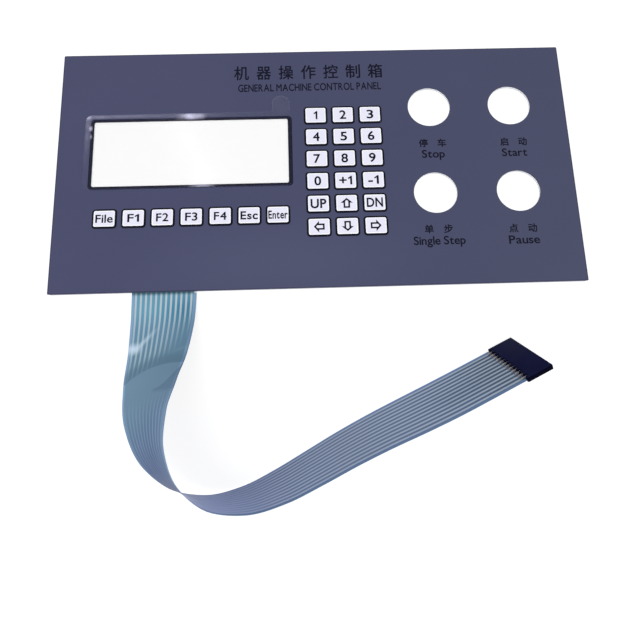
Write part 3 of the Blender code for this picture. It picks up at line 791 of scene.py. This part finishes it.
def key_boss(centre):
    """A key: a dark line on the sheet, a dark slope, and a flat face with a white rim."""
    x, y = centre
    outer = 2 * (KEY_SLOPE + KEY_LINE)
    corner = KEY_CORNER + KEY_SLOPE + KEY_LINE
    low, line_top = (SHEET_LOW + SHEET_HIGH) / 2, SHEET_HIGH + INK
    made = plate("key", centre, (KEY_TOP[0] + outer, KEY_TOP[1] + outer), corner, low, line_top, CORNER_STEPS)
    rise = SHEET_HIGH + KEY_RISE - line_top
    select_faces(made, lambda middle, normal: normal.z > 0.5)
    bpy.ops.mesh.inset(thickness=KEY_LINE, depth=0)
    for inward, upward in ((0.10, 0.06), (0.25, 0.36), (0.25, 0.34), (0.22, 0.19), (0.18, 0.05)):
        bpy.ops.mesh.inset(thickness=inward * KEY_SLOPE, depth=upward * rise)
    bpy.ops.mesh.inset(thickness=KEY_RIM, depth=0)
    bpy.ops.object.mode_set(mode="OBJECT")

    def within(middle, grown):
        return abs(middle.x - x) < KEY_TOP[0] / 2 + grown and abs(middle.y - y) < KEY_TOP[1] / 2 + grown

    def pick(middle, normal):
        if normal.z > 0.99 and within(middle, -KEY_RIM * 0.9):
            return FACE
        if normal.z > 0.99 and within(middle, 0):
            return RIM
        return LINE

    paint_faces(made, pick)
    return made


def key_hollow(centre):
    """The hollow behind a key, a film's thickness inside it."""
    wall = SHEET_HIGH - SHEET_LOW
    size = (KEY_TOP[0] - 2 * wall + 2 * KEY_SLOPE, KEY_TOP[1] - 2 * wall + 2 * KEY_SLOPE)
    made = plate("hollow", centre, size, KEY_CORNER, SHEET_LOW - wall, SHEET_LOW, 3)
    select_faces(made, lambda middle, normal: normal.z > 0.5)
    bpy.ops.mesh.inset(thickness=KEY_SLOPE, depth=KEY_RISE)
    bpy.ops.object.mode_set(mode="OBJECT")
    paint_faces(made, lambda middle, normal: LINE)
    return made


sheet = plate("printed_top_film", (0, 0), (PANEL_WIDTH, PANEL_DEPTH), PANEL_CORNER, SHEET_LOW, SHEET_HIGH, 8)
paint_faces(sheet, lambda middle, normal: SLATE if abs(normal.z) > 0.5 else CUT)
border_low = (WINDOW_CENTRE[0] - WINDOW_SIZE[0] / 2 - BORDER["left"], WINDOW_CENTRE[1] - WINDOW_SIZE[1] / 2 - BORDER["low"])
border_high = (WINDOW_CENTRE[0] + WINDOW_SIZE[0] / 2 + BORDER["right"], WINDOW_CENTRE[1] + WINDOW_SIZE[1] / 2 + BORDER["high"])
border = plate(
    "border", [(a + b) / 2 for a, b in zip(border_low, border_high)],
    [b - a for a, b in zip(border_low, border_high)], BORDER["corner"], (SHEET_LOW + SHEET_HIGH) / 2, SHEET_HIGH + INK)
select_faces(border, lambda middle, normal: normal.z > 0.5)
bpy.ops.mesh.inset(thickness=BORDER_BAND, depth=0)
bpy.ops.object.mode_set(mode="OBJECT")


def inside_band(middle):
    """Whether a place is nearer to the window than the border's paler outer band."""
    x_inside = border_low[0] + BORDER_BAND < middle.x < border_high[0] - BORDER_BAND
    return x_inside and border_low[1] + BORDER_BAND < middle.y < border_high[1] - BORDER_BAND


paint_faces(border, lambda middle, normal: LINE if inside_band(middle) else BAND)
raised = join("raised", [border, *[key_boss(centre) for centre in (*FUNCTION_KEYS, *PAD_KEYS)]])
boolean(sheet, raised, "UNION")
cutters = [plate("window", WINDOW_CENTRE, WINDOW_SIZE, WINDOW_CORNER, 0, 0.01)]
for x, y in HOLE_CENTRES:
    bpy.ops.mesh.primitive_cylinder_add(vertices=HOLE_SIDES, radius=HOLE_RADIUS, depth=0.01, location=(x, y, 0))
    cutters.append(bpy.context.object)
    bpy.ops.object.transform_apply(location=True, rotation=True, scale=True)
for cutter in cutters:
    paint_faces(cutter, lambda middle, normal: CUT)
boolean(sheet, join("cutters", cutters), "DIFFERENCE")
boolean(sheet, join("hollows", [key_hollow(centre) for centre in (*FUNCTION_KEYS, *PAD_KEYS)]), "DIFFERENCE")
finish_mesh(sheet, None, "overlay_film", "graphic_overlay", angle=40)


# Clear window
# The same top film, left unprinted over the display. It is a pane of its own here, so that it can be clear.
RIM_WIDTH = 0.0007


def clear_film(name, haze, gloss_roughness, boost, glints=(), rim=None):
    """Clear polyester: mostly see-through, with a gloss that grows at a slant and a trace of haze.
    Each glint is a place, its reach along X and Y, and how much whiter the haze is there, as a painted highlight. The
    rim is the
    pressed edge of a round tab: its middle, its foot, its round end's centre and radius, and how white."""
    made, tree, shader, node = new_material(name)
    place = node("ShaderNodeTexCoord").outputs["Object"]
    scuffs = node("ShaderNodeTexNoise", links=(("Vector", place), ("Scale", 260.0), ("Detail", 5.0)))
    through = node("ShaderNodeBsdfTransparent")
    shader.inputs["Base Color"].default_value = (0.77, 0.76, 1.0, 1)
    shader.inputs["Roughness"].default_value = 0.5
    gloss = node("ShaderNodeBsdfAnisotropic", links=(("Color", (1, 1, 1, 1)),))
    rough = node("ShaderNodeMapRange", links=(
        ("Value", scuffs.outputs["Fac"]), ("To Min", gloss_roughness * 0.6), ("To Max", gloss_roughness * 1.5)))
    tree.links.new(rough.outputs["Result"], gloss.inputs["Roughness"])
    split = node("ShaderNodeSeparateXYZ", links=((0, place),))
    white = haze
    # Painted glints: each whitens the haze round a place, in place of a highlight or reflection.
    for x, reach_x, y, reach_y, strength in glints:
        cloud = sum_of(node, "MULTIPLY", near(node, split.outputs["X"], x, reach_x),
                       near(node, split.outputs["Y"], y, reach_y))
        white = sum_of(node, "ADD", white, sum_of(node, "MULTIPLY", cloud, strength))
    if rim:
        x, foot, centre, radius, strength = rim
        beside = sum_of(node, "SUBTRACT", split.outputs["X"], x)
        above = sum_of(node, "MAXIMUM", sum_of(node, "SUBTRACT", split.outputs["Y"], centre), 0.0)
        offset = node("ShaderNodeCombineXYZ", links=((0, beside), (1, above))).outputs[0]
        away = node("ShaderNodeVectorMath", operation="LENGTH", links=((0, offset),)).outputs["Value"]
        pressed = sum_of(node, "MULTIPLY", near(node, away, radius, RIM_WIDTH),
                         ramp(node, split.outputs["Y"], foot, foot + 2 * RIM_WIDTH))
        white = sum_of(node, "ADD", white, sum_of(node, "MULTIPLY", pressed, strength))
    uneven = sum_of(node, "MULTIPLY", scuffs.outputs["Fac"], 2.0)
    hazed = node("ShaderNodeMixShader", links=((0, sum_of(node, "MULTIPLY", uneven, white)),
                                               (1, through.outputs[0]), (2, shader.outputs[0])))
    slant = node("ShaderNodeLayerWeight", links=(("Blend", 0.5),)).outputs["Facing"]
    shine = sum_of(node, "MULTIPLY", sum_of(node, "POWER", slant, 5.0), 0.96)
    shine = sum_of(node, "MULTIPLY", sum_of(node, "ADD", shine, 0.04), boost)
    glossy = node("ShaderNodeMixShader", links=((0, shine), (1, hazed.outputs[0]), (2, gloss.outputs[0])))
    tree.links.new(glossy.outputs[0], tree.nodes["Material Output"].inputs["Surface"])
    return made


pane = plate("clear_window", WINDOW_CENTRE, WINDOW_SIZE, WINDOW_CORNER, SHEET_LOW, SHEET_HIGH)
finish_mesh(pane, clear_film("clear_polyester", 0.002, 0.12, 0.04), "clear_film", "graphic_overlay")


# Legends
# Plain words, numbers and arrows, screen printed dark navy on the keys and beside the holes.
LEGEND_THICK = 0.000015
LEGEND_GAP = 0.000002
LETTER_DEPTH = 0.01
KEY_FACE = SHEET_HIGH + KEY_RISE
CAP_SHARE = 0.682
SCRIPT_SHARE = 0.92
ONE_OUTLINE = ((0.000, 0.00), (0.195, 0.00), (0.195, 1.00), (0.055, 1.00), (-0.050, 0.88),
               (-0.210, 0.79), (-0.210, 0.62), (-0.090, 0.67), (0.000, 0.73))
legend_ink = solid_ink("navy_legend_ink", colour(7, 9, 28), colour(14, 16, 36), 0.5)


def flat_shape(outline):
    """One flat face with a given outline."""
    bpy.ops.object.select_all(action="DESELECT")
    bpy.ops.mesh.primitive_circle_add(vertices=len(outline), fill_type="NGON")
    made = bpy.context.object
    for vertex, (x, y) in zip(made.data.vertices, outline):
        vertex.co = (x, y, 0)
    return made


def thicken(flat):
    """Gives a flat shape its thickness of ink."""
    only(flat)
    bpy.ops.object.mode_set(mode="EDIT")
    bpy.ops.mesh.select_all(action="SELECT")
    bpy.ops.mesh.extrude_region_move(TRANSFORM_OT_translate={"value": (0, 0, LEGEND_THICK)})
    bpy.ops.mesh.select_all(action="SELECT")
    bpy.ops.mesh.normals_make_consistent(inside=False)
    bpy.ops.object.mode_set(mode="OBJECT")


def put(obj, x, y, base, stretch=1.0, turn=0.0):
    """Moves print to its place on the sheet or on a key."""
    only(obj)
    obj.location = (x, y, base + LEGEND_GAP)
    obj.scale = (stretch, 1, 1)
    obj.rotation_euler = (0, 0, turn)
    bpy.ops.object.transform_apply(location=True, rotation=True, scale=True)


def span(obj, axis):
    """The lowest and highest place of a mesh along an axis."""
    places = [vertex.co[axis] for vertex in obj.data.vertices]
    return min(places), max(places)


def letter(character, cap_height, weight):
    """One printed letter with its foot on the origin's line, bolder by its weight on each side."""
    if character == "1":
        made = flat_shape([(x * cap_height, y * cap_height) for x, y in ONE_OUTLINE])
        thicken(made)
        return made
    size = cap_height / (CAP_SHARE if character.isascii() else SCRIPT_SHARE)
    bpy.ops.object.select_all(action="DESELECT")
    bpy.ops.object.text_add(location=(0, 0, 0))
    made = bpy.context.object
    made.data.body = character
    made.data.bevel_depth = weight / size
    made.data.bevel_resolution = 0
    made.data.extrude = LETTER_DEPTH
    made.data.resolution_u = 6
    bpy.ops.object.convert(target="MESH")
    made = bpy.context.object
    only(made)
    made.location = (0, 0, LEGEND_THICK / 2)
    made.scale = (size, size, LEGEND_THICK / 2 / (LETTER_DEPTH + weight / size))
    bpy.ops.object.transform_apply(location=True, rotation=True, scale=True)
    bpy.ops.object.mode_set(mode="EDIT")
    bpy.ops.mesh.select_all(action="SELECT")
    bpy.ops.mesh.remove_doubles(threshold=0.0000005)
    bpy.ops.object.mode_set(mode="OBJECT")
    return made


def line_of_print(body, x, y, base, cap_height, width, spacing=0.17, weight=0.0):
    """A line of print centred on a point and fitted to a width; every letter is a piece of its own."""
    letters, cursor = [], 0.0
    for character in body:
        if character == " ":
            cursor += cap_height * 0.36
            continue
        made = letter(character, cap_height, weight)
        low, high = span(made, 0)
        put(made, cursor - low, 0, -LEGEND_GAP)
        cursor += high - low + cap_height * spacing
        letters.append(made)
    line = join(body, letters) if len(letters) > 1 else letters[0]
    low, high = span(line, 0)
    stretch = width / (high - low) if width else 1.0
    foot = cap_height / 2 if body.isascii() else cap_height * 0.42
    put(line, x - (low + high) / 2 * stretch, y - foot, base, stretch)
    return line


def arrow(x, y, quarter_turns):
    """An outlined block arrow, centred on a point."""
    length, head, wing, shaft, line_width = 0.0056, 0.0027, 0.0032, 0.0017, 0.00088
    made = flat_shape([(-length / 2, -shaft), (length / 2 - head, -shaft), (length / 2 - head, -wing), (length / 2, 0),
                       (length / 2 - head, wing), (length / 2 - head, shaft), (-length / 2, shaft)])
    bpy.ops.object.mode_set(mode="EDIT")
    bpy.ops.mesh.select_all(action="SELECT")
    bpy.ops.mesh.inset(thickness=line_width, depth=0, use_even_offset=True)
    bpy.ops.mesh.delete(type="FACE")
    bpy.ops.object.mode_set(mode="OBJECT")
    thicken(made)
    put(made, x, y, KEY_FACE, 1.0, math.radians(90) * quarter_turns)
    return made


prints = []
for body, width, (x, y) in zip(("File", "F1", "F2", "F3", "F4", "Esc", "Enter"),
                               (0.0090, 0.0061, 0.0064, 0.0064, 0.0066, 0.0090, 0.0101), FUNCTION_KEYS):
    prints.append(line_of_print(body, x, y, KEY_FACE, 0.0043, width, 0.10, 0.00011 if body[0] == "F" else 0.00015))
pad_prints = [(digit, None if digit == "1" else 0.0036, 0.00015) for digit in "1234567890"]
pad_prints += [("+1", 0.0068, 0.00015), ("-1", 0.0056, 0.00015), ("UP", 0.0083, 0.00018), None, ("DN", 0.0085, 0.00018)]
for printed, (x, y) in zip(pad_prints, PAD_KEYS):
    if printed:
        body, width, weight = printed
        prints.append(line_of_print(body, x, y, KEY_FACE, 0.0049, width, 0.14, weight))
for key, turns in ((13, 1), (15, 2), (16, 3), (17, 0)):
    prints.append(arrow(*PAD_KEYS[key], turns))
legends = join("key_legends", prints)
finish_mesh(legends, legend_ink, "overlay_film")

TITLE_FIRST, TITLE_LAST, TITLE_Y = -0.0397, 0.0343, 0.0559
TITLE = "\u673a\u5668\u64cd\u4f5c\u63a7\u5236\u7bb1"
title = []
for number, character in enumerate(TITLE):
    x = TITLE_FIRST + (TITLE_LAST - TITLE_FIRST) * number / (len(TITLE) - 1)
    title.append(line_of_print(character, x, TITLE_Y, SHEET_HIGH, 0.0085, 0.0082, 0, 0.00013))
title.append(line_of_print("GENERAL MACHINE CONTROL PANEL", -0.0022, 0.0464, SHEET_HIGH, 0.0043, 0.0786, 0.13, 0.00010))
finish_mesh(join("panel_title", title), legend_ink, "overlay_film")

labels = []
for words, script, x, y, width in (("Stop", "\u505c\u8f66", 0.0631, 0.0044, 0.0123),
                                   ("Start", "\u542f\u52a8", 0.1070, 0.0043, 0.0136),
                                   ("Single Step", "\u5355\u6b65", 0.0627, -0.0450, 0.0270),
                                   ("Pause", "\u70b9\u52a8", 0.1069, -0.0456, 0.0162)):
    labels.append(line_of_print(words, x, y, SHEET_HIGH, 0.0044, width, 0.06, 0.00011))
    for side, character in zip((-1, 1), script):
        labels.append(line_of_print(character, x + side * 0.0050, y + 0.0064, SHEET_HIGH, 0.0046, None, 0, 0.00012))
finish_mesh(join("button_labels", labels), legend_ink, "overlay_film")


# Protective film
# A thin clear sheet that clings to the window until it is peeled off by its round tab. It bridges
# the printed border, so it stands up in a soft ridge along its left and upper edges.
FILM_LOW, FILM_HIGH = 0.00128, 0.00136
FILM_LEFT, FILM_RIGHT = -0.1235, -0.0129
FILM_BOTTOM, FILM_TOP = -0.0121, 0.0315
FILM_CORNER = 0.0033
TAB_WIDTH, TAB_REACH = 0.0100, 0.0096
TAB_IN = 0.0004
RIDGE_WIDTH = 0.0032
RIDGE_RISE = 0.00045
# Painted glints on the film, each a place, its reach along X and Y and how much whiter the haze is there: a painted
# reflection on the upper ridge, painted highlights along the upper and left ridges, at the upper left corner and in a V
# below it, a painted highlight along the lower border, and a faint one beside the tab.
PAINTED_GLINTS = ((-0.0666, 0.0090, 0.0300, 0.0027, 0.52), (-0.1230, 0.0450, 0.0305, 0.0017, 0.11),
          (-0.0800, 0.0500, 0.0305, 0.0016, 0.040), (-0.1223, 0.0022, 0.0310, 0.0340, 0.07),
          (-0.1206, 0.0014, 0.0235, 0.0020, 0.34), (-0.1203, 0.0008, 0.0187, 0.0020, 0.16),
          (-0.1220, 0.0026, 0.0300, 0.0022, 0.14),
          (-0.0606, 0.0085, -0.0112, 0.0010, 0.30), (-0.0183, 0.0090, 0.0375, 0.0120, 0.006))

film_outline = plate("outline", ((FILM_LEFT + FILM_RIGHT) / 2, (FILM_BOTTOM + FILM_TOP) / 2),
                     (FILM_RIGHT - FILM_LEFT, FILM_TOP - FILM_BOTTOM), FILM_CORNER, 0, 0.01)
tab = plate("tab", (FILM_RIGHT - TAB_IN - TAB_WIDTH / 2, FILM_TOP), (TAB_WIDTH, 2 * TAB_REACH),
            TAB_WIDTH * 0.48, 0, 0.01, 12)
boolean(film_outline, tab, "UNION")
bpy.ops.object.select_all(action="DESELECT")
film_middle = ((FILM_LEFT + FILM_RIGHT) / 2, (FILM_BOTTOM + FILM_TOP + TAB_REACH) / 2, FILM_LOW)
film_size = (FILM_RIGHT - FILM_LEFT + 0.004, FILM_TOP + TAB_REACH - FILM_BOTTOM + 0.004)
bpy.ops.mesh.primitive_grid_add(x_subdivisions=220, y_subdivisions=110, size=1, location=film_middle,
                                scale=(*film_size, 1))
peel_film = bpy.context.object
peel_film.name = "peel_off_film"
bpy.ops.object.transform_apply(location=True, rotation=True, scale=True)


def ridge(distance):
    """Height of the ridge at a distance in from the film's edge."""
    share = min(max(distance / RIDGE_WIDTH, 0), 1)
    return RIDGE_RISE * math.sin(math.pi * share) ** 2


for vertex in peel_film.data.vertices:
    x, y = vertex.co.x, vertex.co.y
    from_left = x - FILM_LEFT
    from_top = FILM_TOP - y
    fade_down = min(max((y - FILM_BOTTOM) / 0.030, 0), 1)
    fade_right = min(max((FILM_RIGHT - 0.012 - x) / 0.055, 0), 1)
    left_ridge = ridge(from_left) * fade_down if from_top > 0 else 0
    top_ridge = ridge(from_top) * fade_right if from_left > 0 else 0
    ripple = 0.00001 * math.sin(x * 310 + y * 90) * math.sin(y * 260 - x * 40)
    vertex.co.z += max(left_ridge, top_ridge) + ripple + 0.00001
thickness = peel_film.modifiers.new("thickness", "SOLIDIFY")
thickness.thickness = FILM_HIGH - FILM_LOW
thickness.offset = 1
only(peel_film)
bpy.ops.object.modifier_apply(modifier=thickness.name)
tab_round = TAB_WIDTH * 0.48
tab_rim = (FILM_RIGHT - TAB_IN - TAB_WIDTH / 2, FILM_TOP, FILM_TOP + TAB_REACH - tab_round,
           TAB_WIDTH / 2 - RIM_WIDTH / 2, 0.015)
peel_clear = clear_film("peel_film_clear", 0.004, 0.16, 0.12, PAINTED_GLINTS, tab_rim)
peel_edge = solid_ink("peel_film_edge", colour(150, 153, 180), colour(176, 180, 204), 0.3)
for obj, side in ((peel_film, 0), (film_outline, 1)):
    obj.data.materials.clear()
    obj.data.materials.append(peel_clear)
    obj.data.materials.append(peel_edge)
    for face in obj.data.polygons:
        face.material_index = side
boolean(peel_film, film_outline, "INTERSECT")
finish_mesh(peel_film, None, "clear_film", "window_protective_film")


# Layers under the top film
# Adhesives, spacer, retainer and circuit film are die cut together and show only at their cut edges.
def layer_film(name, first, second, roughness, scale):
    made, tree, shader, node = new_material(name)
    place = node("ShaderNodeTexCoord").outputs["Object"]
    cloud = node("ShaderNodeTexNoise", links=(("Vector", place), ("Scale", scale), ("Detail", 4.0)))
    tint = cut_edge_with_shade(node, place, mix(node, cloud.outputs["Fac"], first, second))
    tree.links.new(tint, shader.inputs["Base Color"])
    bump = node("ShaderNodeBump", links=(
        ("Height", cloud.outputs["Fac"]), ("Strength", 0.2), ("Distance", 0.00002)))
    tree.links.new(bump.outputs["Normal"], shader.inputs["Normal"])
    finish = node("ShaderNodeMapRange", links=(
        ("Value", cloud.outputs["Fac"]), ("To Min", roughness - 0.08), ("To Max", roughness + 0.08)))
    tree.links.new(finish.outputs["Result"], shader.inputs["Roughness"])
    return made


def dress(node_name, material):
    """Gives a solid of the frame its finish."""
    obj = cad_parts[node_name]
    obj.data.materials.clear()
    obj.data.materials.append(material)


glue = layer_film("pale_adhesive", colour(244, 243, 240), colour(250, 250, 248), 0.4, 500.0)
spacer = layer_film("milky_polyester", colour(242, 245, 248), colour(250, 251, 253), 0.3, 300.0)
paper = layer_film("liner_paper", colour(251, 251, 250), colour(254, 254, 253), 0.7, 1800.0)
circuit = layer_film("circuit_polyester", colour(204, 216, 228), colour(216, 226, 236), 0.25, 400.0)
for node_name, material in (("overlay_adhesive", glue), ("rear_adhesive", glue), ("dome_spacer", spacer),
                            ("dome_retainer", spacer), ("circuit_film", circuit), ("release_liner", paper)):
    dress(node_name, material)

# Window backing
# A white protective film on the back of the clear window, which is peeled off when the display is fitted.
# It sits in the opening that the adhesive and the films below leave for the display.
BACKING_LOW, BACKING_HIGH = 0.00092, 0.00098
BACKING_LAP = 0.0004

backing = plate("window_backing", WINDOW_CENTRE, [side + 2 * BACKING_LAP for side in WINDOW_SIZE],
                WINDOW_CORNER + BACKING_LAP, BACKING_LOW, BACKING_HIGH)
finish_mesh(backing, layer_film("white_backing_film", colour(252, 252, 252), colour(255, 255, 255), 0.5, 900.0),
            "liner_paper")


# Snap domes
# Small stainless domes between the circuit and the keys, which nothing but a cut would show.
dome_steel = layer_film("dome_steel", colour(176, 174, 168), colour(206, 204, 198), 0.25, 1200.0)
dome_steel.node_tree.nodes["Principled BSDF"].inputs["Metallic"].default_value = 1.0
for node_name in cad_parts:
    if node_name.startswith("dome_function") or node_name.startswith("dome_keypad"):
        dress(node_name, dome_steel)
